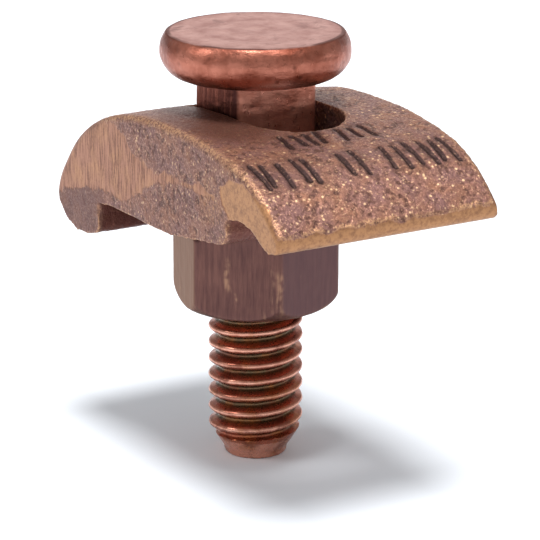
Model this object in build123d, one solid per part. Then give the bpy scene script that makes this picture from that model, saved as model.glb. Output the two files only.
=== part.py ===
# Ground clamp: a round-headed copper stud with a square neck, a cast bronze saddle and a hex nut
# Millimetres, +Z up along the stud, origin at the middle of the stud's free end
# X runs along the saddle's barrel, and -Y is the side of the saddle that is tipped up
from build123d import *
from math import cos, radians, sin, tan
import os

os.makedirs("parts", exist_ok=True)

# Stud, from its free end up to the head
point_radius = 2.62
point_top_radius = 2.70
point_height = 0.55
point_chamfer = 0.12
run_in_slope = 1.6
thread_radius = 3.97
thread_pitch = 1.411
thread_depth = 0.80
thread_root_width = 0.22
thread_crest_width = 0.24
crest_round = 0.08
root_round = 0.18
mouth_reach = 0.3
thread_start = -0.725
thread_turn = 200.0
thread_top = 24.2
neck_side = 7.6
neck_corner = 0.7
neck_turn = -3.0
head_height = 3.6
head_belly = 0.52
head_foot_radius = 6.6
head_radius = 7.87
head_flat_radius = 7.28
# free height between the top of the saddle's arch and the head, as it stands
head_gap = 2.48

# Nut, as it stands on the thread
nut_flats = 12.45
nut_bottom = 13.0
nut_height = 8.0
nut_corner = 0.7
nut_turn = 15.2
nut_face_radius = 5.2
nut_edge_round = 2.0
bore_clearance = 0.06
bore_chamfer = 0.4

# Saddle, laid on the nut as it rests: tipped about X and slid off the stud's axis
saddle_length = 20.4
saddle_tip = 8.0
saddle_slip = 2.5
saddle_drop = 0.3
seat_gap = 0.1
slot_width = 8.8
slot_length = 16.8
slot_off = 0.3
slot_shift = 0.4
keel_side = 10.4
keel_step = 2.1
end_edge_round = 0.6
lip_round = 0.8
keel_round = 1.3

# How far one piece of a fused body is sunk into the next
fuse = 0.1
upward = (Align.CENTER, Align.CENTER, Align.MIN)

# Section of the saddle: across the barrel from the slot's middle, and up from the keel's flat
arch_points = [
    (-18.6, 1.85), (-17.8, 3.4), (-16.3, 4.95), (-14.7, 6.35), (-12.5, 7.65), (-10.45, 8.45), (-8.45, 8.95),
    (-6.2, 9.25), (-2.8, 9.35), (0.3, 9.1), (3.3, 8.7), (6.2, 8.2), (9.0, 7.5), (11.8, 6.6), (14.5, 5.25),
    (16.9, 3.1), (18.1, 1.5),
]
thin_lip = [(18.0, 0.1), (16.3, 0.1), (keel_side + 3.6, 1.7), (keel_side + 2.0, keel_step + 0.15)]
keel_wall = [(keel_side, keel_step), (keel_side, 0.0)]
thick_leg = [(-10.9, 1.5), (-11.2, -1.15), (-13.5, -1.4), (-15.4, -1.25), (-17.1, -0.3)]
facet_edge = -9.3

# Heights that follow from the sizes above
tip_sine, tip_cosine = sin(radians(saddle_tip)), cos(radians(saddle_tip))
saddle_seat = nut_bottom + nut_height - saddle_drop
saddle_crown = saddle_seat + max((p + saddle_slip) * tip_sine + h * tip_cosine for p, h in arch_points)
head_under = saddle_crown + head_gap
head_top = head_under + head_height


def make_groove():
    # thread form as a swept tool that runs past both ends of the threaded length
    helix = Helix(pitch=thread_pitch, height=thread_top - thread_start, radius=thread_radius)
    mouth = (thread_pitch - thread_crest_width) / 2
    half = [
        (mouth_reach, mouth + crest_round), (-crest_round, mouth - crest_round),
        (root_round - thread_depth, thread_root_width), (-thread_depth, thread_root_width / 2),
    ]
    outline = [(x, -z) for x, z in half] + [(x, z) for x, z in reversed(half)]
    section = Plane(origin=(thread_radius, 0, 0), x_dir=(1, 0, 0), z_dir=(0, -1, 0)) * make_face(
        Polyline(*outline, close=True)
    )
    return Pos(0, 0, thread_start) * Rot(0, 0, thread_turn) * sweep(section, path=helix, is_frenet=True)


def make_stud():
    rod = Pos(0, 0, point_height) * Cylinder(thread_radius, thread_top - point_height, align=upward)
    threaded = rod - make_groove()
    # the run-in cone trims the first turn down to the stud's point
    run_in_reach = thread_radius + mouth_reach
    run_in_height = (run_in_reach - point_top_radius) * run_in_slope
    run_in_outline = Polyline(
        (0, point_height - fuse),
        (point_top_radius, point_height - fuse),
        (point_top_radius, point_height),
        (run_in_reach, point_height + run_in_height),
        (run_in_reach, thread_top + fuse),
        (0, thread_top + fuse),
        close=True,
    )
    threaded = threaded & revolve(Plane.XZ * make_face(run_in_outline), Axis.Z)
    point_outline = Polyline(
        (0, 0),
        (point_radius - point_chamfer, 0),
        (point_radius, point_chamfer),
        (point_top_radius, point_height),
        (point_top_radius - fuse, point_height + fuse),
        (0, point_height + fuse),
        close=True,
    )
    point = revolve(Plane.XZ * make_face(point_outline), Axis.Z)
    neck_sketch = Rot(0, 0, neck_turn) * RectangleRounded(neck_side, neck_side, neck_corner)
    neck = Pos(0, 0, thread_top - fuse) * extrude(neck_sketch, head_under - thread_top + 2 * fuse)
    foot = (head_foot_radius, head_under)
    belly = (head_radius, head_under + head_belly * head_height)
    rim = (head_flat_radius, head_top)
    side = ThreePointArc(foot, belly, rim)
    cap = Polyline(rim, (0, head_top), (0, head_under), foot)
    head = revolve(Plane.XZ * make_face(side + cap), Axis.Z)
    return threaded + point + neck + head


def make_nut():
    bar = RegularPolygon(nut_flats / 2, 6, major_radius=False, rotation=nut_turn)
    bar = fillet(bar.vertices(), nut_corner)
    blank = Pos(0, 0, nut_bottom) * extrude(bar, nut_height)
    # both faces are turned to a rounded edge, so the flats end in curves
    turned = Rectangle(nut_face_radius + nut_edge_round, nut_height, align=Align.MIN)
    turned = fillet(turned.vertices().sort_by(Axis.X)[-2:], nut_edge_round)
    body = blank & Pos(0, 0, nut_bottom) * revolve(Plane.XZ * turned, Axis.Z)
    bore_radius = thread_radius + bore_clearance
    bore = Pos(0, 0, nut_bottom) * Cylinder(bore_radius, nut_height, align=upward)
    mouth = Pos(0, 0, nut_bottom) * Cone(bore_radius + bore_chamfer, bore_radius, bore_chamfer, align=upward)
    return body - bore - mouth


def make_saddle():
    # the facet beside the keel lies parallel to the nut's top, a small gap above it
    slope = tan(radians(saddle_tip))
    keel_edge = (saddle_drop + seat_gap) / tip_sine - saddle_slip
    facet_rise = (keel_edge - facet_edge) * slope
    under = thin_lip + keel_wall + [(keel_edge, 0.0), (facet_edge, facet_rise)] + thick_leg
    outline = Spline(*arch_points) + Polyline(arch_points[-1], *under, arch_points[0])
    section = make_face(outline)
    keel_arc = [(keel_side - keel_round, 0.0), (keel_side, keel_round)]
    sharp_corners = [arch_points[0], arch_points[-1], keel_wall[0], (keel_edge, 0.0), thick_leg[0]] + keel_arc

    def is_rounded(corner):
        return all(abs(corner.X - x) + abs(corner.Y - y) > fuse for x, y in sharp_corners)

    def is_keel_corner(corner):
        return abs(corner.X - keel_side) + abs(corner.Y) < fuse

    keel_corner = section.vertices().filter_by(is_keel_corner)
    section = fillet(keel_corner, keel_round)
    section = fillet(section.vertices().filter_by(is_rounded), lip_round)
    across = Plane(origin=(0, 0, 0), x_dir=(0, -1, 0), z_dir=(-1, 0, 0))
    block = extrude(across * section, saddle_length / 2, both=True)
    slot = SlotOverall(slot_length, slot_width, rotation=90)
    well = Pos(slot_off, slot_shift, 0) * extrude(slot, saddle_length, both=True)
    body = block - well
    ends = body.faces().filter_by(Axis.X).sort_by(SortBy.AREA)[-2:]
    end_arcs = [end.edges().sort_by(SortBy.LENGTH)[-1] for end in ends]
    body = fillet(end_arcs, end_edge_round)
    laid = Pos(0, 0, saddle_seat) * Rot(-saddle_tip, 0, 0) * Pos(0, -saddle_slip, 0)
    return laid * body


stud = make_stud()
nut = make_nut()
saddle = make_saddle()

for name, piece in (("stud", stud), ("nut", nut), ("saddle", saddle)):
    export_step(piece, f"parts/{name}.step")
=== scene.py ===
import math
import bmesh
import bpy
import numpy as np
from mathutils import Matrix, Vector, noise


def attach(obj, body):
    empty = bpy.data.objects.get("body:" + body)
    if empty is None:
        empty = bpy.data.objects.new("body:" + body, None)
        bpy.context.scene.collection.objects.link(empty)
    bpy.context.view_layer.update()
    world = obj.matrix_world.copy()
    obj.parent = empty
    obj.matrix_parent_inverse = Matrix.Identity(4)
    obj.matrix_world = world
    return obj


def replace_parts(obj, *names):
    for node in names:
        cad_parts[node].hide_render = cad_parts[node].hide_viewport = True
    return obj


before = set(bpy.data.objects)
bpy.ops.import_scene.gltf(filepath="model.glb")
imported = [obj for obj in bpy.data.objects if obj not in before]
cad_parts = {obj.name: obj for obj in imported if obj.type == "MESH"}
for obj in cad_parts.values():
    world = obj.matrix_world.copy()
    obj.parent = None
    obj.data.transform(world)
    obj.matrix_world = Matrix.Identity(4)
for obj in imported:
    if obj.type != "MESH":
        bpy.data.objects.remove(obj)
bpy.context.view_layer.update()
mm = 0.001
print("frame loaded:", sorted(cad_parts))


# Helpers

def linearColor(hexText):
    # sRGB hex to the linear values that the shader wants
    parts = [int(hexText.lstrip("#")[i:i + 2], 16) / 255 for i in (0, 2, 4)]
    return [c / 12.92 if c <= 0.04045 else ((c + 0.055) / 1.055) ** 2.4 for c in parts] + [1.0]


def addNode(tree, kind, settings=None, inputs=None):
    # one node with its settings; each input is a plain value or the socket it is linked from
    node = tree.nodes.new(kind)
    for key, value in (settings or {}).items():
        if key == "stops":  # colour stops as (position, hex text)
            ramp = node.color_ramp
            for i, (place, shade) in enumerate(value):
                stop = ramp.elements[i] if i < len(ramp.elements) else ramp.elements.new(place)
                stop.position, stop.color = place, linearColor(shade)
        else:
            setattr(node, key, value)
    for key, value in (inputs or {}).items():
        socket = node.inputs[key]
        if isinstance(value, bpy.types.NodeSocket):
            tree.links.new(value, socket)
        else:
            socket.default_value = value
    return node


def startMaterial(name):
    material = bpy.data.materials.new(name)
    material.use_nodes = True
    tree = material.node_tree
    return material, tree, tree.nodes["Principled BSDF"]


def readFields(tree, names):
    # the fields that a piece keeps on its own points
    return {n: addNode(tree, "ShaderNodeAttribute", {"attribute_name": n}).outputs["Fac"] for n in names}


def layTones(tree, base, layers):
    # tones laid one over the other: each layer has its share, that share's strength, and its tone
    for share, strength, tone in layers:
        if strength != 1:
            share = addNode(tree, "ShaderNodeMath", {"operation": "MULTIPLY"}, {
                0: share, 1: strength}).outputs[0]
        below, above = (linearColor(t) if isinstance(t, str) else t for t in (base, tone))
        base = addNode(tree, "ShaderNodeMix", {"data_type": "RGBA"}, {
            "Factor": share, 6: below, 7: above}).outputs[2]
    return base


def mergedCopy(name, node, above=None):
    # the CAD mesh is loose triangles, so its copy is merged first; above keeps only what is over that height
    mesh = bpy.data.meshes.new(name)
    work = bmesh.new()
    work.from_mesh(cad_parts[node].data)
    bmesh.ops.remove_doubles(work, verts=work.verts, dist=0.002 * mm)
    if above is not None:
        parts = list(work.verts) + list(work.edges) + list(work.faces)
        bmesh.ops.bisect_plane(
            work, geom=parts, plane_co=(0, 0, above), plane_no=(0, 0, 1), clear_inner=True)
        bmesh.ops.holes_fill(work, edges=work.edges)
    work.to_mesh(mesh)
    work.free()
    piece = bpy.data.objects.new(name, mesh)
    bpy.context.collection.objects.link(piece)
    return piece


def bakeModifiers(piece):
    # the evaluated shape becomes the piece's own mesh, and its modifiers go
    evaluated = piece.evaluated_get(bpy.context.evaluated_depsgraph_get())
    finished = bpy.data.meshes.new_from_object(evaluated)
    old = piece.data
    piece.modifiers.clear()
    piece.data = finished
    bpy.data.meshes.remove(old)
    finished.name = piece.name
    return piece


def evenSkin(piece, voxel, relax):
    # an even net of small faces over the whole piece, with its edges eased
    remesh = piece.modifiers.new("even", "REMESH")
    remesh.mode, remesh.voxel_size, remesh.use_smooth_shade = "VOXEL", voxel, True
    ease = piece.modifiers.new("ease", "SMOOTH")
    ease.factor, ease.iterations = 0.5, relax
    return bakeModifiers(piece)


class Skin:
    # the points, normals and edges of a piece's net, for fields and for shaping
    def __init__(self, piece):
        self.mesh = piece.data
        count = len(self.mesh.vertices)
        self.points = np.empty(count * 3)
        self.mesh.vertices.foreach_get("co", self.points)
        self.points = self.points.reshape(-1, 3)
        self.normals = np.empty(count * 3)
        self.mesh.vertex_normals.foreach_get("vector", self.normals)
        self.normals = self.normals.reshape(-1, 3)
        self.edges = np.empty(len(self.mesh.edges) * 2, dtype=np.int64)
        self.mesh.edges.foreach_get("vertices", self.edges)
        self.edges = self.edges.reshape(-1, 2)

    def blurred(self, values, rounds):
        a, b = self.edges[:, 0], self.edges[:, 1]
        count = len(values)
        near = np.bincount(a, minlength=count) + np.bincount(b, minlength=count)
        for _ in range(rounds):
            total = np.bincount(a, values[b], count) + np.bincount(b, values[a], count)
            values = 0.3 * values + 0.7 * total / np.maximum(near, 1)
        return values

    def bulge(self, rounds):
        # how far the surface stands out from its own neighbourhood: over 0 on edges, under 0 in corners
        gap = [self.points[:, i] - self.blurred(self.points[:, i], rounds) for i in range(3)]
        return sum(g * self.normals[:, i] for i, g in enumerate(gap))

    def ripple(self, size, seed, octaves=1, squeeze=(1, 1, 1)):
        # soft noise from -1 to 1 with features of that size, drawn out along an axis that is squeezed
        at = self.points * np.array(squeeze) / size + seed * 7.31
        if octaves == 1:
            return np.array([noise.noise(Vector(p)) for p in at])
        return np.array([noise.fractal(Vector(p), 1.0, 2.0, octaves) for p in at])

    def cells(self, size, seed):
        # distance to the nearest of scattered points, in cell sizes
        at = self.points / size + seed * 3.17
        return np.array([noise.voronoi(Vector(p))[0][0] for p in at])

    def push(self, amount):
        self.points += self.normals * amount[:, None]
        self.mesh.vertices.foreach_set("co", self.points.ravel())
        self.mesh.update()

    def keepField(self, name, values):
        field = self.mesh.attributes.new(name, "FLOAT", "POINT")
        field.data.foreach_set("value", np.clip(values, 0, 1).astype(np.float32))


def rise(values, low, high):
    # 0 below low, 1 above high and smooth between them
    t = np.clip((values - low) / (high - low), 0, 1)
    return t * t * (3 - 2 * t)


def inside(u, v, outline):
    # signed distance to a closed outline, over 0 inside it
    near, hit = np.full(len(u), 1e9), np.zeros(len(u), bool)
    for (ax, ay), (bx, by) in zip(outline, outline[1:] + outline[:1]):
        dx, dy = bx - ax, by - ay
        t = np.clip(((u - ax) * dx + (v - ay) * dy) / (dx * dx + dy * dy), 0, 1)
        near = np.minimum(near, np.hypot(u - ax - t * dx, v - ay - t * dy))
        crosses = (ay > v) != (by > v)
        hit ^= crosses & (u < ax + (v - ay) * dx / (dy if dy else 1e-9))
    return np.where(hit, near, -near)


# Materials

# Sand-cast bronze with a brown patina: the sand left it rough, and its rubbed grains shine pink and golden
castFinish = {
    "hollow": "#64433a", "patina": "#986a55", "mauve": "#86605a", "dust": "#54362f",
    "grainTop": "#cfa080", "grainGold": "#eec69a", "golden": "#cd9d76",
    "groundDark": "#734733", "groundMetal": "#a7765e", "groundGold": "#b07f5e",
    "lipDark": "#8c6245", "lip": "#af7f58",
    "soot": "#2e1b1a", "rubbedAndShadedTone": "#6e4639", "shelterTone": "#653830", "calmTone": "#6c4a43",
    # sizes of the sand's grain, the cells that hold single grains, the patches of patina, the fine tooth, the
    # grinding marks and the lip's mottle
    "grain": 0.20 * mm, "speck": 0.40 * mm, "patch": 2.0 * mm, "fine": 0.10 * mm, "brush": 0.14 * mm,
    "mottle": 0.45 * mm,
}
castBronze, tree, shader = startMaterial("sandCastBronze")
shader.inputs["Metallic"].default_value = 0.7
coords = addNode(tree, "ShaderNodeTexCoord").outputs["Object"]
fields = readFields(tree, (
    "wear", "ground", "golden", "punched", "rubbedAndShaded", "grain", "front", "sheltered", "calm", "haze"))
grainNoise = addNode(tree, "ShaderNodeTexNoise", None, {
    "Vector": coords, "Scale": 1 / castFinish["grain"], "Detail": 3.0, "Roughness": 0.7}).outputs[0]
patchNoise = addNode(tree, "ShaderNodeTexNoise", None, {
    "Vector": coords, "Scale": 1 / castFinish["patch"], "Detail": 3.0}).outputs[0]
fineNoise = addNode(tree, "ShaderNodeTexNoise", None, {
    "Vector": coords, "Scale": 1 / castFinish["fine"], "Detail": 2.0}).outputs[0]
# the cast skin: dark in its hollows, with dust between the grains and some tops rubbed bright
body = addNode(tree, "ShaderNodeValToRGB", {"stops": [
    (0.35, castFinish["patina"]), (0.62, castFinish["mauve"])]}, {0: patchNoise}).outputs[0]
raisedShare = addNode(tree, "ShaderNodeMapRange", None, {
    "Value": fields["grain"], "From Min": 0.22, "From Max": 0.46}).outputs[0]
dustShare = addNode(tree, "ShaderNodeMapRange", None, {
    "Value": grainNoise, "From Min": 0.30, "From Max": 0.44, "To Min": 0.6, "To Max": 0.0}).outputs[0]
topShare = addNode(tree, "ShaderNodeMapRange", None, {
    "Value": grainNoise, "From Min": 0.55, "From Max": 0.66, "To Max": 0.75}).outputs[0]
# single grains some 0.2 mm across in cells of 0.4 mm, rubbed bright or left dark, and more of them bright
# near the lip
specks = addNode(tree, "ShaderNodeTexVoronoi", None, {"Vector": coords, "Scale": 1 / castFinish["speck"]})
speckPick = addNode(tree, "ShaderNodeSeparateColor", None, {0: specks.outputs["Color"]}).outputs[0]
speckShape = addNode(tree, "ShaderNodeMapRange", None, {
    "Value": specks.outputs["Distance"], "From Min": 0.20, "From Max": 0.36,
    "To Min": 1.0, "To Max": 0.0}).outputs[0]
speckChance = addNode(tree, "ShaderNodeMath", {"operation": "MULTIPLY_ADD"}, {
    0: fields["front"], 1: 0.22, 2: speckPick}).outputs[0]
speckOn = addNode(tree, "ShaderNodeMapRange", None, {
    "Value": speckChance, "From Min": 0.60, "From Max": 0.74}).outputs[0]
speckHigh = addNode(tree, "ShaderNodeMapRange", None, {
    "Value": fields["grain"], "From Min": 0.40, "From Max": 0.60}).outputs[0]
speckShare = addNode(tree, "ShaderNodeMath", {"operation": "MULTIPLY"}, {
    0: speckShape, 1: speckOn}).outputs[0]
edgeBreak = addNode(tree, "ShaderNodeMapRange", None, {
    "Value": grainNoise, "From Min": 0.42, "From Max": 0.56, "To Min": 0.10, "To Max": 1.0}).outputs[0]
# the grinder's marks run up and down: streaks 0.14 mm wide and some 1.5 mm long
streaks = addNode(tree, "ShaderNodeTexNoise", None, {
    "Vector": addNode(tree, "ShaderNodeMapping", None, {
        "Vector": coords, "Scale": (1.0, 1.0, 0.09)}).outputs[0],
    "Scale": 1 / castFinish["brush"], "Detail": 2.0}).outputs[0]
streakMix = addNode(tree, "ShaderNodeMath", {"operation": "MULTIPLY_ADD"}, {
    0: grainNoise, 1: 0.35, 2: streaks}).outputs[0]
streakShare = addNode(tree, "ShaderNodeMapRange", None, {
    "Value": streakMix, "From Min": 0.50, "From Max": 0.74}).outputs[0]
goldShare = addNode(tree, "ShaderNodeMapRange", None, {
    "Value": patchNoise, "From Min": 0.42, "From Max": 0.62}).outputs[0]
metalTone = layTones(tree, castFinish["groundMetal"], [(goldShare, 1, castFinish["groundGold"])])
groundTone = layTones(tree, castFinish["groundDark"], [(streakShare, 1, metalTone)])
lipNoise = addNode(tree, "ShaderNodeTexNoise", None, {
    "Vector": coords, "Scale": 1 / castFinish["mottle"], "Detail": 4.0, "Roughness": 0.75}).outputs[0]
lipShare = addNode(tree, "ShaderNodeMapRange", None, {
    "Value": lipNoise, "From Min": 0.36, "From Max": 0.56}).outputs[0]
lipTone = layTones(tree, castFinish["lipDark"], [(lipShare, 1, castFinish["lip"])])
smoothTone = layTones(tree, groundTone, [(fields["golden"], 1, lipTone)])
# the ground places fray out into the cast skin, grain by grain
frayEdge = addNode(tree, "ShaderNodeMath", {"operation": "MULTIPLY_ADD"}, {
    0: grainNoise, 1: 0.9, 2: fields["ground"]}).outputs[0]
frayed = addNode(tree, "ShaderNodeMapRange", None, {
    "Value": frayEdge, "From Min": 0.75, "From Max": 1.05}).outputs[0]
# soot lies in the punched strokes, thinner on the grains
sootShare = addNode(tree, "ShaderNodeMapRange", None, {
    "Value": fields["punched"], "From Min": 0.03, "From Max": 0.38, "To Max": 0.93}).outputs[0]
sootBreak = addNode(tree, "ShaderNodeMapRange", None, {
    "Value": grainNoise, "From Min": 0.55, "From Max": 0.68, "To Min": 1.0, "To Max": 0.62}).outputs[0]
castTone = layTones(tree, castFinish["hollow"], [
    (raisedShare, 1, body),
    (dustShare, 1, castFinish["dust"]),
    (topShare, 1, castFinish["grainTop"]),
    (speckShare, speckHigh, castFinish["grainGold"]),
    # darker beside the neck: painted shade under the head, on a place rubbed smooth
    (fields["rubbedAndShaded"], 0.85, castFinish["rubbedAndShadedTone"]),
    (fields["sheltered"], 0.85, castFinish["shelterTone"]),
    (fields["calm"], 0.70, castFinish["calmTone"]),
    (fields["haze"], 0.45, castFinish["dust"]),
    (fields["wear"], edgeBreak, castFinish["golden"]),
    (fields["golden"], edgeBreak, lipTone),
    (frayed, 1, smoothTone),
    (sootShare, sootBreak, castFinish["soot"]),
])
tree.links.new(castTone, shader.inputs["Base Color"])
roughCast = addNode(tree, "ShaderNodeMapRange", None, {
    "Value": grainNoise, "From Min": 0.35, "From Max": 0.65, "To Min": 0.60, "To Max": 0.34}).outputs[0]
tree.links.new(addNode(tree, "ShaderNodeMix", {"data_type": "FLOAT"}, {
    "Factor": frayed, 2: roughCast, 3: 0.44}).outputs[0], shader.inputs["Roughness"])
relief = addNode(tree, "ShaderNodeMath", {"operation": "MULTIPLY_ADD"}, {
    0: fineNoise, 1: 0.4, 2: grainNoise}).outputs[0]
reliefShare = addNode(tree, "ShaderNodeMapRange", None, {
    "Value": frayed, "To Min": 1.0, "To Max": 0.12}).outputs[0]
reliefHeight = addNode(tree, "ShaderNodeMath", {"operation": "MULTIPLY"}, {
    0: relief, 1: reliefShare}).outputs[0]
tree.links.new(addNode(tree, "ShaderNodeBump", None, {
    "Strength": 0.6, "Distance": 0.08 * mm, "Height": reliefHeight}).outputs[0], shader.inputs["Normal"])

# Drawn bronze bar, dulled purple-brown: the die left long fine lines, and handling brightened its corners
barFinish = {
    "dull": "#563a38", "light": "#704d46", "rub": "#98785e", "patchTone": "#a17a62", "tanTone": "#684735",
    "purpleTone": "#584044", "edgeTone": "#ffecdd",
    # width of the die's lines and size of the cloudy patches
    "line": 0.34 * mm, "cloud": 3.0 * mm,
}
drawnBronze, tree, shader = startMaterial("drawnBronze")
shader.inputs["Metallic"].default_value = 0.85
coords = addNode(tree, "ShaderNodeTexCoord").outputs["Object"]
fields = readFields(tree, ("wear", "tan", "purple", "torn"))
lines = addNode(tree, "ShaderNodeTexNoise", None, {
    "Vector": addNode(tree, "ShaderNodeMapping", None, {
        "Vector": coords, "Scale": (1.0, 1.0, 0.10)}).outputs[0],
    "Scale": 1 / barFinish["line"], "Detail": 4.0, "Roughness": 0.65}).outputs[0]
cloud = addNode(tree, "ShaderNodeTexNoise", None, {
    "Vector": coords, "Scale": 1 / barFinish["cloud"], "Detail": 3.0}).outputs[0]
cloudPart = addNode(tree, "ShaderNodeMath", {"operation": "MULTIPLY"}, {0: cloud, 1: 0.3}).outputs[0]
lineMix = addNode(tree, "ShaderNodeMath", {"operation": "MULTIPLY_ADD"}, {
    0: lines, 1: 0.7, 2: cloudPart}).outputs[0]
barTone = addNode(tree, "ShaderNodeValToRGB", {"stops": [
    (0.38, barFinish["dull"]), (0.62, barFinish["light"])]}, {0: lineMix}).outputs[0]
# here and there the die tore the skin, in pale streaks 0.2 to 0.5 mm wide and 1 to 5 mm long
tornBreak = addNode(tree, "ShaderNodeMapRange", None, {
    "Value": lines, "From Min": 0.42, "From Max": 0.60, "To Min": 0.10, "To Max": 0.85}).outputs[0]
# the faces turned to the left are painted a lighter tan, as painted light from the left, and the faces turned
# to the right take a purple tone
barColor = layTones(tree, barTone, [
    (fields["tan"], 0.6, barFinish["tanTone"]),
    (fields["purple"], 0.7, barFinish["purpleTone"]),
    (fields["torn"], tornBreak, barFinish["patchTone"]),
    (fields["wear"], 1, barFinish["rub"]),
])
tree.links.new(barColor, shader.inputs["Base Color"])
shader.inputs["Roughness"].default_value = 0.42
# the patina keeps its warm tone where a face is seen edge on
shader.inputs["Specular Tint"].default_value = linearColor(barFinish["edgeTone"])
tree.links.new(addNode(tree, "ShaderNodeBump", None, {
    "Strength": 0.35, "Distance": 0.02 * mm, "Height": lines}).outputs[0], shader.inputs["Normal"])

# Cold-headed copper, tumbled: a satin skin with stains and small pits, brightest on its edges
headFinish = {
    "copper": "#b3705d", "deep": "#8a4b3a", "stain": "#43211d", "pitTone": "#66382c", "rub": "#cf9480",
    "pressed": "#cba198", "pressedDark": "#a07068", "smear": "#75504a", "rimTone": "#54291f",
    "neckLeftTone": "#452725", "neckLeftEdge": "#e8c4bb",
    # sizes of the clouds, stains, scuffs, smears, scratches and dents, and how far apart the rings are
    "cloud": 2.8 * mm, "stainSize": 1.5 * mm, "scuff": 0.22 * mm, "smearSize": 2.0 * mm,
    "scratch": 0.35 * mm, "mottle": 1.0 * mm, "ring": 2.8 * mm,
}
headedCopper, tree, shader = startMaterial("coldHeadedCopper")
shader.inputs["Metallic"].default_value = 0.95
coords = addNode(tree, "ShaderNodeTexCoord").outputs["Object"]
fields = readFields(tree, ("wear", "pits", "crown", "rim", "neckLeftSide"))
cloud = addNode(tree, "ShaderNodeTexNoise", None, {
    "Vector": coords, "Scale": 1 / headFinish["cloud"], "Detail": 4.0, "Roughness": 0.6}).outputs[0]
stains = addNode(tree, "ShaderNodeTexNoise", None, {
    "Vector": coords, "Scale": 1 / headFinish["stainSize"], "Detail": 5.0, "Roughness": 0.7}).outputs[0]
base = addNode(tree, "ShaderNodeValToRGB", {"stops": [
    (0.35, headFinish["deep"]), (0.6, headFinish["copper"])]}, {0: cloud}).outputs[0]
stainShare = addNode(tree, "ShaderNodeMapRange", None, {
    "Value": stains, "From Min": 0.60, "From Max": 0.74, "To Max": 0.75}).outputs[0]
# the pressed top is dull and pale, with faint rings left by the heading die
# (at a scale of 1 the wave node's rings are tau / 20 apart)
rings = addNode(tree, "ShaderNodeTexWave", {"wave_type": "RINGS", "rings_direction": "Z"}, {
    "Vector": coords, "Scale": math.tau / 20 / headFinish["ring"], "Distortion": 3.0, "Detail": 3.0,
    "Detail Scale": 1.5, "Detail Roughness": 0.6}).outputs["Fac"]
topStains = addNode(tree, "ShaderNodeMapRange", None, {
    "Value": stains, "From Min": 0.42, "From Max": 0.75, "To Max": 0.7}).outputs[0]
ringShare = addNode(tree, "ShaderNodeMath", {"operation": "MULTIPLY_ADD"}, {
    0: rings, 1: 0.34, 2: topStains}).outputs[0]
# dark smears, strongest toward the rim
flat = addNode(tree, "ShaderNodeVectorMath", {"operation": "MULTIPLY"}, {0: coords, 1: (1, 1, 0)}).outputs[0]
fromAxis = addNode(tree, "ShaderNodeVectorMath", {"operation": "LENGTH"}, {0: flat}).outputs["Value"]
rimward = addNode(tree, "ShaderNodeMapRange", None, {
    "Value": fromAxis, "From Min": 3.0 * mm, "From Max": 6.0 * mm, "To Min": 0.3, "To Max": 1.1}).outputs[0]
smears = addNode(tree, "ShaderNodeTexNoise", None, {
    "Vector": coords, "Scale": 1 / headFinish["smearSize"], "Detail": 4.0, "Roughness": 0.7,
    "Distortion": 0.6}).outputs[0]
smearShare = addNode(tree, "ShaderNodeMapRange", None, {
    "Value": smears, "From Min": 0.56, "From Max": 0.70, "To Max": 0.65}).outputs[0]
topTone = layTones(tree, headFinish["pressed"], [
    (ringShare, 1, headFinish["pressedDark"]),
    (smearShare, rimward, headFinish["smear"]),
])
# one side of the neck is darker and brown-purple, with paler upright scratches
scratches = addNode(tree, "ShaderNodeTexNoise", None, {
    "Vector": addNode(tree, "ShaderNodeMapping", None, {
        "Vector": coords, "Scale": (1.0, 1.0, 0.08)}).outputs[0],
    "Scale": 1 / headFinish["scratch"], "Detail": 2.0}).outputs[0]
scratchBreak = addNode(tree, "ShaderNodeMapRange", None, {
    "Value": scratches, "From Min": 0.5, "From Max": 0.7, "To Min": 0.97, "To Max": 0.6}).outputs[0]
headColor = layTones(tree, base, [
    (stainShare, 1, headFinish["stain"]),
    (fields["pits"], 1, headFinish["pitTone"]),
    # the wear field also carries the neck's painted light
    (fields["wear"], 0.5, headFinish["rub"]),
    (fields["crown"], 1, topTone),
    # the rim's dark line; over the rounded edge it is painted shade
    (fields["rim"], 0.8, headFinish["rimTone"]),
    (fields["neckLeftSide"], scratchBreak, headFinish["neckLeftTone"]),
])
tree.links.new(headColor, shader.inputs["Base Color"])
tree.links.new(layTones(tree, "#ffffff", [(fields["neckLeftSide"], 1, headFinish["neckLeftEdge"])]),
               shader.inputs["Specular Tint"])
scuffs = addNode(tree, "ShaderNodeTexNoise", None, {
    "Vector": addNode(tree, "ShaderNodeMapping", None, {
        "Vector": coords, "Scale": (1.0, 1.0, 0.3)}).outputs[0],
    "Scale": 1 / headFinish["scuff"], "Detail": 3.0}).outputs[0]
sideRough = addNode(tree, "ShaderNodeMapRange", None, {
    "Value": scuffs, "From Min": 0.3, "From Max": 0.7, "To Min": 0.26, "To Max": 0.46}).outputs[0]
matte = addNode(tree, "ShaderNodeMath", {"operation": "MAXIMUM"}, {
    0: fields["crown"], 1: fields["rim"]}).outputs[0]
tree.links.new(addNode(tree, "ShaderNodeMix", {"data_type": "FLOAT"}, {
    "Factor": matte, 2: sideRough, 3: 0.58}).outputs[0], shader.inputs["Roughness"])
mottle = addNode(tree, "ShaderNodeTexNoise", None, {
    "Vector": addNode(tree, "ShaderNodeMapping", None, {
        "Vector": coords, "Scale": (1.0, 1.0, 1.8)}).outputs[0],
    "Scale": 1 / headFinish["mottle"], "Detail": 4.0, "Roughness": 0.65}).outputs[0]
tree.links.new(addNode(tree, "ShaderNodeBump", None, {
    "Strength": 0.6, "Distance": 0.10 * mm, "Height": mottle}).outputs[0], shader.inputs["Normal"])
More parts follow.
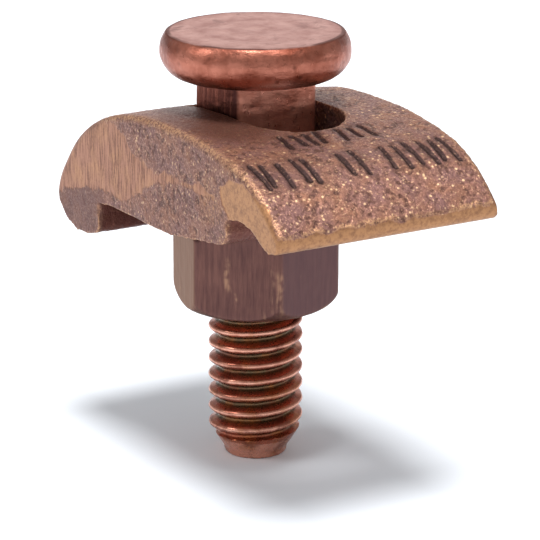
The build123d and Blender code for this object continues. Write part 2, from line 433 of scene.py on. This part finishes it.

# Rolled copper thread: burnished by the rolls; its roots are painted darker as shade and its crests paler as
# a painted highlight
threadFinish = {
    # the root's tone is painted shade and the crest's tone a painted highlight
    "root": "#5e4a35", "low": "#9c5640", "flank": "#ac624c", "crest": "#dca08a", "tarnish": "#a3622f",
    "oil": "#6a3327",
    # sizes of the tarnish, the oil's patches and the scuffs
    "tarnishSize": 1.5 * mm, "oilSize": 2.2 * mm, "scuff": 0.4 * mm,
    # radius at the roots and on the crests, and the heights between which the point's painted light fades out
    "radii": (3.17 * mm, 3.97 * mm), "pointEnd": (1.5 * mm, 2.6 * mm),
}
rolledCopper, tree, shader = startMaterial("rolledCopperThread")
shader.inputs["Metallic"].default_value = 0.85
coords = addNode(tree, "ShaderNodeTexCoord").outputs["Object"]
height = addNode(tree, "ShaderNodeSeparateXYZ", None, {0: coords}).outputs[2]
flat = addNode(tree, "ShaderNodeVectorMath", {"operation": "MULTIPLY"}, {0: coords, 1: (1, 1, 0)}).outputs[0]
fromAxis = addNode(tree, "ShaderNodeVectorMath", {"operation": "LENGTH"}, {0: flat}).outputs["Value"]
# the tone follows the distance from the axis: painted shade in the roots, a painted highlight on the crests
depthShadeAndLight = addNode(tree, "ShaderNodeMapRange", None, {
    "Value": fromAxis, "From Min": threadFinish["radii"][0],
    "From Max": threadFinish["radii"][1]}).outputs[0]
# the point is painted lighter, close to the crests' tone: painted light on a part that stands in shade
paintedPointLight = addNode(tree, "ShaderNodeMapRange", None, {
    "Value": height, "From Min": threadFinish["pointEnd"][0], "From Max": threadFinish["pointEnd"][1],
    "To Min": 0.95, "To Max": 0.0}).outputs[0]
paintedLightShare = addNode(tree, "ShaderNodeMath", {"operation": "MAXIMUM"}, {
    0: depthShadeAndLight, 1: paintedPointLight}).outputs[0]
threadTone = addNode(tree, "ShaderNodeValToRGB", {"stops": [
    (0.12, threadFinish["root"]), (0.34, threadFinish["low"]), (0.86, threadFinish["flank"]),
    (0.98, threadFinish["crest"])]}, {0: paintedLightShare}).outputs[0]
# brown and orange tarnish in patches, and broader ones where old oil has darkened the skin
tarnish = addNode(tree, "ShaderNodeTexNoise", None, {
    "Vector": coords, "Scale": 1 / threadFinish["tarnishSize"], "Detail": 3.0}).outputs[0]
tarnishShare = addNode(tree, "ShaderNodeMapRange", None, {
    "Value": tarnish, "From Min": 0.50, "From Max": 0.68, "To Max": 0.5}).outputs[0]
oil = addNode(tree, "ShaderNodeTexNoise", None, {
    "Vector": coords, "Scale": 1 / threadFinish["oilSize"], "Detail": 4.0, "Roughness": 0.6}).outputs[0]
oilShare = addNode(tree, "ShaderNodeMapRange", None, {
    "Value": oil, "From Min": 0.50, "From Max": 0.62, "To Max": 0.6}).outputs[0]
threadColor = layTones(tree, threadTone, [
    (tarnishShare, 1, threadFinish["tarnish"]),
    (oilShare, 1, threadFinish["oil"]),
])
tree.links.new(threadColor, shader.inputs["Base Color"])
scuffs = addNode(tree, "ShaderNodeTexNoise", None, {
    "Vector": coords, "Scale": 1 / threadFinish["scuff"], "Detail": 3.0}).outputs[0]
tree.links.new(addNode(tree, "ShaderNodeMapRange", None, {
    "Value": scuffs, "From Min": 0.3, "From Max": 0.7, "To Min": 0.20, "To Max": 0.38}).outputs[0],
    shader.inputs["Roughness"])
tree.links.new(addNode(tree, "ShaderNodeBump", None, {
    "Strength": 0.12, "Distance": 0.03 * mm, "Height": scuffs}).outputs[0], shader.inputs["Normal"])
print("materials made:", len(bpy.data.materials))


# Saddle: sand-cast bronze, ground at its ends, with plain punched strokes on the arch

saddle = {
    "net": 0.17 * mm,          # face size of the net
    "seat": 20.7, "slip": 2.5, "tip": 8.0,  # where the section stands, as in the source (mm, degrees)
    "grain": 0.36 * mm, "grainDepth": 0.045 * mm,
    "lump": 2.2 * mm, "lumpDepth": 0.05 * mm,
    # pits: their size and depth, and how wide the places are where they gather
    "pit": 0.7 * mm, "pitDepth": 0.05 * mm, "pitSpread": 2.3 * mm,
    # how the outlines below wander: size of a bend and how far it goes (in mm), broad and then fine
    "wander": ((1.3 * mm, 0.45), (0.35 * mm, 0.18)),
    "farPatch": 5 * mm,        # size of the ground places on the far end
    # how far the cast skin and the ground places are sunk: the tallest grains are then about level with the
    # solid's faces
    "castSunk": 0.05 * mm, "groundSunk": 0.03 * mm,
    # strokes: how deep they are punched, and their half width (mm)
    "strokeDepth": 0.17 * mm, "strokeWidth": 0.18,
    # where an end face begins and where it is full, along the barrel (mm)
    "endFace": (9.5, 10.0),
    # ground places on the near end, as outlines in section coordinates (mm)
    "groundLeft": [(-6.6, 8.3), (-3.5, 6.0), (0.4, 4.85), (6.5, 4.6), (8.6, 3.8), (0.8, 4.3), (-2.9, 3.3),
                   (-6.3, 2.1), (-10.3, 2.8), (-16.6, 2.2), (-18.0, 2.2), (-19.4, 3.2), (-16.4, 6.2),
                   (-12.0, 8.8)],
    "groundRight": [(9.9, 4.7), (11.9, 5.5), (13.5, 5.1), (16.3, 3.7), (17.9, 1.6), (17.6, -0.6),
                    (16.0, -0.4), (13.4, 1.6), (11.0, 2.2), (10.2, 3.4)],
    # the ground band along the lip: its upper edge (mm)
    "bandTop": 1.50,
    # strokes in rows: across the barrel from and to, then the places along it (mm)
    "strokeRows": [
        (12.35, 15.0, [-8.8, -7.9, -6.5, -5.1, -4.2, -1.0, 0.3, 3.1, 4.2, 5.3, 6.6, 7.7, 8.6]),
        (8.3, 10.5, [-3.6, -2.6, -1.5, -0.4, 1.6, 2.7, 3.8]),
    ],
}

saddleCast = evenSkin(mergedCopy("saddle_cast", "saddle"), saddle["net"], 3)
saddleCast.data.materials.append(castBronze)
skin = Skin(saddleCast)
# section coordinates: x along the barrel, across it from the slot's middle, and height over the keel's flat
x, y, z = (skin.points / mm).T
tip = math.radians(saddle["tip"])
across = -(y * math.cos(tip) - (z - saddle["seat"]) * math.sin(tip)) - saddle["slip"]
height = y * math.sin(tip) + (z - saddle["seat"]) * math.cos(tip)
(broadWander, broadShare), (fineWander, fineShare) = saddle["wander"]
wander = skin.ripple(broadWander, 1) * broadShare + skin.ripple(fineWander, 2) * fineShare
nearEnd, farEnd = rise(-x, *saddle["endFace"]), rise(x, *saddle["endFace"])
leftFacet = nearEnd * rise(inside(across, height, saddle["groundLeft"]) + wander, -0.5, 0.5)
rightFacet = nearEnd * rise(inside(across, height, saddle["groundRight"]) + wander * 0.6, -0.2, 0.2)
belowBand = saddle["bandTop"] + wander * 0.8 - height
lipBand = rise(across, 17.0, 17.35) * rise(belowBand, 0.0, 0.35)
# the grinder turned up a bright ragged burr along the band's upper edge
burr = rise(across, 16.6, 17.0) * (1 - rise(np.abs(belowBand), 0.10, 0.32))
farFacet = farEnd * rise(skin.ripple(saddle["farPatch"], 5) + 0.2 * wander, -0.05, 0.25)
ground = np.maximum(np.maximum(leftFacet, rightFacet), np.maximum(lipBand, farFacet))
# the near end's casting is yellowed beside its ground place
yellowed = nearEnd * (1 - rise(np.hypot(across - 8.4, height - 3.4) + 0.8 * wander, 1.0, 2.4))
goldenMetal = np.maximum(np.maximum(rightFacet, lipBand), 0.5 * yellowed)
# the arcs at both ends have a rubbed band about a millimetre wide
turned = np.abs(skin.normals[:, 0])
arcEdge = rise(turned, 0.12, 0.45) * (1 - rise(turned, 0.85, 0.97)) * rise(skin.normals[:, 2], -0.3, 0.1)
arcEdge = np.clip(1.6 * skin.blurred(arcEdge * (np.abs(x) > 9.0), 6), 0, 1)

# the strokes lean this way and that, and start and end a little unevenly
top = rise(skin.normals[:, 2], 0.2, 0.5) * rise(height, 3.0, 3.6)
punched, haze = np.zeros(len(x)), np.zeros(len(x))
for start, end, places in saddle["strokeRows"]:
    length = end - start
    for i, place in enumerate(places):
        lean = 0.25 * math.sin(9.7 * place + start)
        along = np.clip((across - start) / length, 0.05 * (i % 3), 1.0 - 0.08 * (i % 2))
        gap = np.hypot(x - place - lean * along, across - (start + along * length))
        gap += 0.14 * wander
        punched = np.maximum(punched, 1 - rise(gap, saddle["strokeWidth"] * 0.5, saddle["strokeWidth"] * 1.6))
        haze = np.maximum(haze, 1 - rise(gap + 0.5 * wander, 0.25, 0.85))
punched *= top

worn = skin.bulge(8) / (0.10 * mm)
edgeWear = np.maximum(rise(worn + 0.35 * wander, 0.35, 1.1), arcEdge * (0.70 + 0.5 * wander))
edgeWear = np.maximum(edgeWear, burr * rise(wander, -0.35, 0.15))
# the cable grooves and the underside are darker
sheltered = rise(2.6 - height, 0.0, 0.6) * (1 - rise(np.abs(x), 9.7, 10.0)) * rise(16.6 - across, 0.0, 0.5)
sheltered *= 1 - rise(skin.normals[:, 1], 0.55, 0.8) * (across < -14)
# the near end is calmer and grey-mauve where it isn't ground, most of all on the thick leg
calm = nearEnd * (0.35 + 0.65 * rise(-across, 9.4, 10.6))
cast = (1 - 0.9 * ground) * (1 - 0.55 * calm)
# beside the neck the arch is rubbed smooth, and its darker tone there is painted shade under the head
rubbedAndShaded = rise(1 - np.hypot((x + 6.0) / 4.2, (across - 1.5) / 8.5) + 0.15 * wander, -0.1, 0.35) * top
cast *= 1 - 0.65 * rubbedAndShaded
grain = skin.ripple(saddle["grain"], 3, 2)
lumps = skin.ripple(saddle["lump"], 4, 2)
pits = 1 - rise(skin.cells(saddle["pit"], 5), 0.10, 0.42)
pits *= rise(skin.ripple(saddle["pitSpread"], 6), -0.05, 0.3)
skin.push(cast * (grain * saddle["grainDepth"] + lumps * saddle["lumpDepth"] - pits * saddle["pitDepth"])
          - cast * saddle["castSunk"] - punched * saddle["strokeDepth"] * (1 + 0.35 * grain)
          - ground * saddle["groundSunk"])
for name, values in (
        ("wear", edgeWear), ("ground", ground), ("golden", goldenMetal), ("punched", punched),
        ("rubbedAndShaded", rubbedAndShaded), ("front", top * rise(across, 11.0, 17.5) * (0.75 + 0.5 * wander)),
        ("haze", haze * top), ("sheltered", sheltered), ("calm", calm),
        ("grain", 0.5 + 0.5 * grain - 0.6 * pits)):
    skin.keepField(name, values)
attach(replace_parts(saddleCast, "saddle"), "saddle")
print("saddle shaped:", len(saddleCast.data.polygons), "faces")


# Nut: hexagon bar of drawn bronze, cut and rounded at both faces

nut = {
    "net": 0.12 * mm,          # face size of the net
    "drawn": 0.012 * mm, "drawnWidth": 0.35 * mm, "dent": 0.01 * mm, "dentWidth": 0.8 * mm,
    "tornGrain": 0.45 * mm,    # size of the breaks along a tear's edge
    # where the front faces (degrees), and the die's tears on it:
    # place across the front, lowest, highest, half width (mm)
    "front": 31.0, "tears": [(-2.3, 15.5, 18.8, 0.16), (-1.7, 14.2, 16.0, 0.08), (1.35, 13.9, 18.4, 0.10),
                             (1.95, 13.4, 17.9, 0.20), (0.6, 13.2, 14.4, 0.12)],
}

nutBar = evenSkin(mergedCopy("nut_bar", "nut"), nut["net"], 9)
nutBar.data.materials.append(drawnBronze)
skin = Skin(nutBar)
worn = skin.bulge(6) / (0.05 * mm)
uneven = skin.ripple(nut["dentWidth"], 11)
drawn = skin.ripple(nut["drawnWidth"], 0, squeeze=(1, 1, 0.06))
skin.push(drawn * nut["drawn"] + uneven * nut["dent"] - nut["drawn"])
skin.keepField("wear", rise(worn + 1.1 * uneven, 0.70, 1.5))
front = math.radians(nut["front"])
x, y, z = (skin.points / mm).T
crosswise = x * math.cos(front) - y * math.sin(front)
facing = rise(-skin.normals[:, 0] * math.sin(front) - skin.normals[:, 1] * math.cos(front), 0.2, 0.5)
ragged = skin.ripple(nut["tornGrain"], 12, 2)
torn = np.zeros(len(x))
for place, lowest, highest, half in nut["tears"]:
    drift = place + 0.10 * np.sin(1.9 * z + place)
    within = rise(z, lowest, lowest + 0.6) * (1 - rise(z, highest - 0.8, highest))
    torn = np.maximum(torn, within * (1 - rise(np.abs(crosswise - drift), half * 0.3, half * 2.2)))
skin.keepField("torn", torn * facing * rise(ragged, -0.6, 0.4))
# the faces turned to the left get painted light, the faces turned to the right a purple tone
leftward = -skin.normals[:, 0] * math.cos(front) + skin.normals[:, 1] * math.sin(front)
skin.keepField("tan", rise(leftward, 0.75, 0.92))
skin.keepField("purple", rise(-leftward, 0.45, 0.75))
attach(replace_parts(nutBar, "nut"), "nut")
print("nut shaped:", len(nutBar.data.polygons), "faces")


# Stud: cold-headed copper, its head and square neck here and its rolled thread below

stud = {
    "net": 0.13 * mm,          # face size of the net
    "threadTop": 24.15 * mm, "dent": 0.035 * mm, "dentWidth": 2.6 * mm,
    "scuffDepth": 0.03 * mm, "scuffWidth": 0.9 * mm,
    # pits: their size and depth, and how wide the places are where they gather
    "pit": 1.1 * mm, "pitDepth": 0.03 * mm, "pitSpread": 3.1 * mm,
    "sunk": 0.03 * mm,         # how far the skin is sunk, so that its highest places are about level
    # the dark line on the rim: radius where it starts and ends, and the height that it lies above (mm)
    "rimLine": (6.92, 7.40), "rimHeight": 35.7,
    # heights between which the neck ends and the head begins (mm)
    "neckEnd": (32.4, 32.7),
}

studHead = evenSkin(mergedCopy("stud_head", "stud", above=stud["threadTop"]), stud["net"], 3)
studHead.data.materials.append(headedCopper)
skin = Skin(studHead)
worn = skin.bulge(8) / (0.07 * mm)
broad = skin.ripple(stud["dentWidth"], 21, 2)
scuffed = skin.ripple(stud["scuffWidth"], 0, squeeze=(0.6, 0.6, 1.4))
side = 1 - rise(skin.normals[:, 2], 0.75, 0.95)
pits = 1 - rise(skin.cells(stud["pit"], 22), 0.05, 0.30)
pits *= rise(skin.ripple(stud["pitSpread"], 23), 0.05, 0.35)
skin.push(broad * stud["dent"] + side * scuffed * stud["scuffDepth"] - side * pits * stud["pitDepth"]
          - stud["sunk"])
x, y, z = (skin.points / mm).T
# a fine dark line where the heading die met the rim; over the rounded edge it is painted shade that dims the
# edge's highlight
fromAxis = np.hypot(x, y)
lineStart, lineEnd = stud["rimLine"]
rimLine = rise(fromAxis, lineStart, lineStart + 0.14) * (1 - rise(fromAxis, lineEnd - 0.10, lineEnd))
rimLine *= rise(z, stud["rimHeight"], stud["rimHeight"] + 0.1)
skin.keepField("rim", rimLine * rise(broad + 0.6 * scuffed, -0.7, 0.0))
onNeck = 1 - rise(z, *stud["neckEnd"])
# the neck is painted lighter in patches: painted light against the shade under the head
paintedNeckLight = 0.9 * onNeck * rise(broad + 0.4 * scuffed, -1.0, 0.5)
skin.keepField("wear", np.maximum(rise(worn + 0.5 * scuffed, 0.45, 1.3), paintedNeckLight))
skin.keepField("pits", pits * side)
skin.keepField("neckLeftSide", onNeck * rise(-skin.normals[:, 0] + 0.35 * broad, 0.45, 0.85))
skin.keepField("crown", rise(skin.normals[:, 2] + 0.05 * scuffed, 0.80, 0.97) * (1 - onNeck))
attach(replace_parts(studHead, "stud"), "stud")
print("stud head shaped:", len(studHead.data.polygons), "faces")

thread = {
    "pitch": 1.411 * mm, "crest": 3.97 * mm, "depth": 0.80 * mm, "length": 24.3 * mm,
    "start": -0.725 * mm, "turn": math.radians(200.0),
    "around": 144, "rowsPerTurn": 24,
    # the point: its end's radius, then the top of its chamfer, of its short taper and of its run-in cone,
    # each with how far it widens
    "endRadius": 2.50 * mm,
    "point": [(0.12 * mm, 0.12 * mm), (0.55 * mm, 0.08 * mm), (3.06 * mm, 1.57 * mm)],
    "batter": 0.06 * mm, "dent": 1.1 * mm,
    # share of the depth at shares of the way from the groove's middle to the crest
    "form": [(0.0, 1.0), (0.14, 0.985), (0.30, 0.80), (0.52, 0.38), (0.70, 0.13), (0.86, 0.03), (1.0, 0.0)],
}


def threadTree():
    # a grid wrapped round the axis; its radius follows the thread's form, the point and the run-in
    tree = bpy.data.node_groups.new("rolledThread", "GeometryNodeTree")
    tree.interface.new_socket("Geometry", in_out="OUTPUT", socket_type="NodeSocketGeometry")
    sizes = [("Pitch", thread["pitch"]), ("Crest radius", thread["crest"]), ("Depth", thread["depth"]),
             ("Length", thread["length"]), ("Start", thread["start"]), ("Turn", thread["turn"]),
             ("End radius", thread["endRadius"])]
    for label, value in sizes:
        tree.interface.new_socket(label, in_out="INPUT", socket_type="NodeSocketFloat").default_value = value
    tree.interface.new_socket("Material", in_out="INPUT", socket_type="NodeSocketMaterial")
    given = addNode(tree, "NodeGroupInput").outputs
    rows = round(thread["length"] / thread["pitch"] * thread["rowsPerTurn"])
    grid = addNode(tree, "GeometryNodeMeshGrid", None, {
        "Size X": 1.0, "Size Y": 1.0, "Vertices X": thread["around"] + 1, "Vertices Y": rows})
    place = addNode(tree, "ShaderNodeSeparateXYZ", None, {
        0: addNode(tree, "GeometryNodeInputPosition").outputs[0]})
    angle = addNode(tree, "ShaderNodeMath", {"operation": "MULTIPLY_ADD"}, {
        0: place.outputs[0], 1: math.tau, 2: math.pi}).outputs[0]
    # the rows run a little past both ends, where the radius is nil, so the ends are closed
    raised = addNode(tree, "ShaderNodeMapRange", {"clamp": False}, {
        "Value": place.outputs[1], "From Min": -0.5 + 0.6 / rows, "From Max": 0.5 - 0.6 / rows,
        "To Min": 0.0, "To Max": given["Length"]}).outputs[0]
    low = addNode(tree, "ShaderNodeMath", {"operation": "MAXIMUM"}, {0: raised, 1: 0.0}).outputs[0]
    height = addNode(tree, "ShaderNodeMath", {"operation": "MINIMUM"}, {
        0: low, 1: given["Length"]}).outputs[0]

    def aroundAxis(radius):
        # the place at this angle and height that is so far from the axis
        sides = {}
        for i, operation in enumerate(("COSINE", "SINE")):
            turnedTo = addNode(tree, "ShaderNodeMath", {"operation": operation}, {0: angle}).outputs[0]
            sides[i] = addNode(tree, "ShaderNodeMath", {"operation": "MULTIPLY"}, {
                0: turnedTo, 1: radius}).outputs[0]
        return addNode(tree, "ShaderNodeCombineXYZ", None, {**sides, 2: height}).outputs[0]

    # share of a pitch from the groove's middle, 0 in the groove and 1 on the crest
    climbed = addNode(tree, "ShaderNodeMath", {"operation": "SUBTRACT"}, {
        0: height, 1: given["Start"]}).outputs[0]
    turns = addNode(tree, "ShaderNodeMath", {"operation": "DIVIDE"}, {
        0: climbed, 1: given["Pitch"]}).outputs[0]
    turned = addNode(tree, "ShaderNodeMath", {"operation": "SUBTRACT"}, {
        0: angle, 1: given["Turn"]}).outputs[0]
    share = addNode(tree, "ShaderNodeMath", {"operation": "DIVIDE"}, {0: turned, 1: math.tau}).outputs[0]
    phase = addNode(tree, "ShaderNodeMath", {"operation": "SUBTRACT"}, {0: turns, 1: share}).outputs[0]
    fromGroove = addNode(tree, "ShaderNodeMath", {"operation": "PINGPONG"}, {0: phase, 1: 0.5}).outputs[0]
    halfShare = addNode(tree, "ShaderNodeMath", {"operation": "MULTIPLY"}, {0: fromGroove, 1: 2.0}).outputs[0]
    form = addNode(tree, "ShaderNodeFloatCurve", None, {"Value": halfShare})
    curve = form.mapping.curves[0]
    for at, value in thread["form"][1:-1]:
        curve.points.new(at, value)
    curve.points[0].location, curve.points[-1].location = thread["form"][0], thread["form"][-1]
    form.mapping.update()
    cut = addNode(tree, "ShaderNodeMath", {"operation": "MULTIPLY"}, {
        0: form.outputs[0], 1: given["Depth"]}).outputs[0]
    threaded = addNode(tree, "ShaderNodeMath", {"operation": "SUBTRACT"}, {
        0: given["Crest radius"], 1: cut}).outputs[0]
    # the point: chamfer, slight taper, then the run-in cone
    limit, foot = given["End radius"], 0.0
    for head, widening in thread["point"]:
        widened = addNode(tree, "ShaderNodeMapRange", None, {
            "Value": height, "From Min": foot, "From Max": head,
            "To Min": 0.0, "To Max": widening}).outputs[0]
        limit = addNode(tree, "ShaderNodeMath", {"operation": "ADD"}, {0: limit, 1: widened}).outputs[0]
        foot = head
    radius = addNode(tree, "ShaderNodeMath", {"operation": "MINIMUM"}, {0: threaded, 1: limit}).outputs[0]
    # the whole thread is a little battered
    dented = addNode(tree, "ShaderNodeTexNoise", None, {
        "Vector": aroundAxis(given["Crest radius"]), "Scale": 1 / thread["dent"], "Detail": 2.0}).outputs[0]
    dent = addNode(tree, "ShaderNodeMapRange", None, {
        "Value": dented, "From Min": 0.35, "From Max": 0.75,
        "To Min": 0.0, "To Max": -thread["batter"]}).outputs[0]
    battered = addNode(tree, "ShaderNodeMath", {"operation": "ADD"}, {0: radius, 1: dent}).outputs[0]
    over = addNode(tree, "ShaderNodeMath", {"operation": "GREATER_THAN"}, {0: raised, 1: 0.0}).outputs[0]
    under = addNode(tree, "ShaderNodeMath", {"operation": "LESS_THAN"}, {
        0: raised, 1: given["Length"]}).outputs[0]
    between = addNode(tree, "ShaderNodeMath", {"operation": "MULTIPLY"}, {0: over, 1: under}).outputs[0]
    final = addNode(tree, "ShaderNodeMath", {"operation": "MULTIPLY"}, {0: battered, 1: between}).outputs[0]
    moved = addNode(tree, "GeometryNodeSetPosition", None, {
        "Geometry": grid.outputs[0], "Position": aroundAxis(final)})
    joined = addNode(tree, "GeometryNodeMergeByDistance", None, {
        "Geometry": moved.outputs[0], "Distance": 0.001 * mm})
    smooth = addNode(tree, "GeometryNodeSetShadeSmooth", None, {"Geometry": joined.outputs[0]})
    real = addNode(tree, "GeometryNodeRealizeInstances", None, {0: smooth.outputs[0]})
    painted = addNode(tree, "GeometryNodeSetMaterial", None, {
        "Geometry": real.outputs[0], "Material": given["Material"]})
    addNode(tree, "NodeGroupOutput", None, {0: painted.outputs[0]})
    return tree


studThread = bpy.data.objects.new("stud_thread", bpy.data.meshes.new("stud_thread"))
bpy.context.collection.objects.link(studThread)
rolled = studThread.modifiers.new("rolled", "NODES")
rolled.node_group = threadTree()
for socket in rolled.node_group.interface.items_tree:
    if socket.name == "Material":
        rolled[socket.identifier] = rolledCopper
bakeModifiers(studThread)
studThread.data.set_sharp_from_angle(angle=math.radians(55))
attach(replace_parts(studThread, "stud"), "stud")
print("thread rolled:", len(studThread.data.polygons), "faces")


# Floor, light and camera

studio = {
    "turn": math.radians(31.0), "tilt": math.radians(16.9),  # the photograph's viewing angle
    "aim": 15.79 * mm, "distance": 249.6 * mm, "lens": 200.0, "shift": 14.5 / 540,
    "floor": "#edf2f8", "floorReach": 3.0,
    # strength of the surroundings as a light, and as they are seen
    "surround": 0.45, "backdrop": 1.05,
    # the sun: strength, angle across (degrees) and the way to it (right, away from the camera, up)
    "key": 3.35, "keyAngle": 22.0, "keyPlace": (0.03, -0.17, 1.0),
    # softboxes: place (right, away from the camera, up, in m), width (m) and watts
    "boxes": {
        "leftBox": ((-0.30, -0.08, 0.25), 0.13, 0.27),
        "rightBox": ((0.20, -0.14, 0.34), 0.10, 0.12),
        "backBox": ((0.02, 0.40, 0.14), 0.26, 0.15),
    },
    "boxAim": (0.0, 0.0, 0.02),
}

reach = studio["floorReach"]
floorMesh = bpy.data.meshes.new("floor")
floorMesh.from_pydata(
    [(-reach, -reach, 0), (reach, -reach, 0), (reach, reach, 0), (-reach, reach, 0)], [], [(0, 1, 2, 3)])
floor = bpy.data.objects.new("floor", floorMesh)
bpy.context.collection.objects.link(floor)
# matt paper, a faintly blue white, with very little gloss
floorPaper, tree, shader = startMaterial("floorPaper")
shader.inputs["Base Color"].default_value = linearColor(studio["floor"])
shader.inputs["Roughness"].default_value = 0.8
shader.inputs["Specular IOR Level"].default_value = 0.2
floorMesh.materials.append(floorPaper)

turn, tilt = studio["turn"], studio["tilt"]
ahead = Vector((math.cos(tilt) * math.sin(turn), math.cos(tilt) * math.cos(turn), -math.sin(tilt)))
sideways = Vector((math.cos(turn), -math.sin(turn), 0))
level = Vector((math.sin(turn), math.cos(turn), 0))


def fromCamera(place):
    # a place given to the right, away from the camera and up, as a place in the scene
    return place[0] * sideways + place[1] * level + Vector((0, 0, place[2]))


camera = bpy.data.objects.new("camera", bpy.data.cameras.new("camera"))
bpy.context.collection.objects.link(camera)
camera.location = Vector((0, 0, studio["aim"])) - ahead * studio["distance"]
camera.rotation_euler = ahead.to_track_quat("-Z", "Y").to_euler()
camera.data.lens, camera.data.sensor_width = studio["lens"], 36.0
camera.data.shift_x = studio["shift"]
camera.data.clip_start, camera.data.clip_end = 0.01, 20
bpy.context.scene.camera = camera

# a broad light overhead, a little toward the camera, throws the soft shadow straight down
key = bpy.data.objects.new("overhead", bpy.data.lights.new("overhead", "SUN"))
key.data.energy, key.data.angle = studio["key"], math.radians(studio["keyAngle"])
key.rotation_euler = fromCamera(studio["keyPlace"]).to_track_quat("Z", "Y").to_euler()
bpy.context.collection.objects.link(key)

# softboxes: high at the left and at the right for the head's side, and one behind for its top
for name, (place, size, watts) in studio["boxes"].items():
    box = bpy.data.objects.new(name, bpy.data.lights.new(name, "AREA"))
    box.data.size, box.data.energy = size, watts
    box.location = fromCamera(place)
    box.rotation_euler = (box.location - Vector(studio["boxAim"])).to_track_quat("Z", "Y").to_euler()
    bpy.context.collection.objects.link(box)

# pale surroundings: plain white to the eye, dimmer as a light so that the metals keep their depth
world = bpy.data.worlds.new("studio")
bpy.context.scene.world = world
world.use_nodes = True
tree = world.node_tree
seen = addNode(tree, "ShaderNodeLightPath").outputs["Is Camera Ray"]
strength = addNode(tree, "ShaderNodeMapRange", None, {
    "Value": seen, "To Min": studio["surround"], "To Max": studio["backdrop"]}).outputs[0]
background = tree.nodes["Background"]
background.inputs["Color"].default_value = (1, 1, 1, 1)
tree.links.new(strength, background.inputs["Strength"])
bpy.context.scene.view_settings.view_transform = "Standard"
